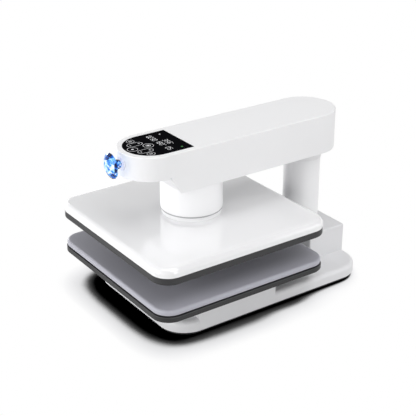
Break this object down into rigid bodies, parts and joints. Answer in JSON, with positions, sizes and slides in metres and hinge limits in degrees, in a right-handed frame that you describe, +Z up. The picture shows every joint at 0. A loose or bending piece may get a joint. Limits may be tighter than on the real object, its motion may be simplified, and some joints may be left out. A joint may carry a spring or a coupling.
{
  "type": "heat press",
  "caption": "Automatic swing-away heat press: square heated platen lowered by a motor screw onto a padded bed, carried on an arm that turns on a rear column.",
  "frame": {"origin": "on the bench, under the middle of the press's overall box", "axes": "+Z up, +Y from the knob at the front to the column at the rear, +X to the operator's right"},
  "size_m": [0.4, 0.556, 0.3497],
  "materials": {
    "shell_white": "satin moulded plastic",
    "cover_white": "glossy white enamel",
    "tube_white": "satin white paint",
    "band_dark": "matt heat-proof band",
    "bed_dark": "dark coated aluminium",
    "pad_grey": "soft silicone",
    "black_sheet": "black sheet",
    "pan_black": "black powder coat",
    "foot_rubber": "matt rubber",
    "steel": "bare steel",
    "frame_steel": "primed steel",
    "bronze": "oiled bronze",
    "gear_nylon": "moulded nylon",
    "plate_alu": "cast and machined",
    "element_steel": "heat-tinted tube",
    "fibre_board": "pressed ceramic fibre",
    "black_plastic": "moulded",
    "glass_black": "black glass",
    "board_green": "circuit board",
    "digit_white": "display block",
    "led_green": "clear green lens",
    "rosette_pale": "pale gloss",
    "crystal_blue": "cut crystal",
    "rocker_red": "moulded",
    "pin_brass": "plated"
  },
  "bodies": {
    "base": {"base_cover": "shell_white", "base_plate": "steel", "bottom_pan": "pan_black", "foot_pads": "foot_rubber", "pedestal_frame": "steel", "lower_tray": "bed_dark", "pad_backing": "black_sheet", "silicone_pad": "pad_grey", "tray_screws": "steel", "rear_housing": "shell_white", "rear_panel": "pan_black", "power_inlet": "black_plastic", "inlet_pins": "pin_brass", "switch_bezel": "black_plastic", "fuse_holder": "black_plastic", "power_board": "board_green", "power_supply": "steel", "heater_relay": "black_plastic", "column_tube": "tube_white", "column_post": "steel", "post_bolts": "steel", "thrust_bearing": "steel", "stop_collar": "steel", "pivot_nut": "steel"},
    "press_head": {"drive_nut": "bronze", "nut_tower": "steel", "guide_rods": "steel", "platen_collar": "tube_white", "upper_cover": "cover_white", "press_plate": "frame_steel", "insulation_board": "fibre_board", "heater_plate": "plate_alu", "plate_bolts": "steel", "heating_element": "element_steel", "seal_band": "band_dark", "heat_sensor": "steel"},
    "lift_screw": {"lead_screw": "steel", "screw_gear": "gear_nylon"},
    "pinion": {"drive_pinion": "bronze"},
    "arm": {"arm_shell": "shell_white", "arm_belly": "shell_white", "belly_screws": "steel", "arm_frame": "frame_steel", "pivot_hub": "steel", "pivot_bushes": "bronze", "stop_pin": "steel", "panel_glass": "glass_black", "display_board": "board_green", "digit_displays": "digit_white", "status_led": "led_green", "knob_rosette": "rosette_pale", "knob_stud": "steel", "crystal_knob": "crystal_blue", "head_sleeve": "tube_white", "wiper_ring": "black_plastic", "drive_motor": "steel", "motor_gearbox": "plate_alu", "screw_bearing": "steel", "guide_bushes": "bronze"},
    "rocker": {"power_rocker": "rocker_red"}
  },
  "joints": [
    {"name": "arm_swing", "type": "hinge", "parent": "base", "child": "arm", "pos_m": [0, 0.211, 0.27], "axis": [0, 0, 1], "range_deg": [-90, 90]},
    {"name": "press_lower", "type": "slide", "parent": "arm", "child": "press_head", "axis": [0, 0, -1], "range_m": [0, 0.0525]},
    {"name": "screw_turn", "type": "hinge", "parent": "arm", "child": "lift_screw", "pos_m": [0, -0.078, 0.28], "axis": [0, 0, 1], "range_deg": [0, 2363]},
    {"name": "pinion_turn", "type": "hinge", "parent": "arm", "child": "pinion", "pos_m": [0, -0.033, 0.3], "axis": [0, 0, 1], "range_deg": [-7089, 0]},
    {"name": "power_switch", "type": "hinge", "parent": "base", "child": "rocker", "pos_m": [0.048, 0.2565, 0.065], "axis": [1, 0, 0], "range_deg": [0, 18]}
  ],
  "couplings": [
    {"joint": "screw_turn", "follows": "press_lower", "rad_per_m": 785.4},
    {"joint": "pinion_turn", "follows": "press_lower", "rad_per_m": -2356.2}
  ]
}
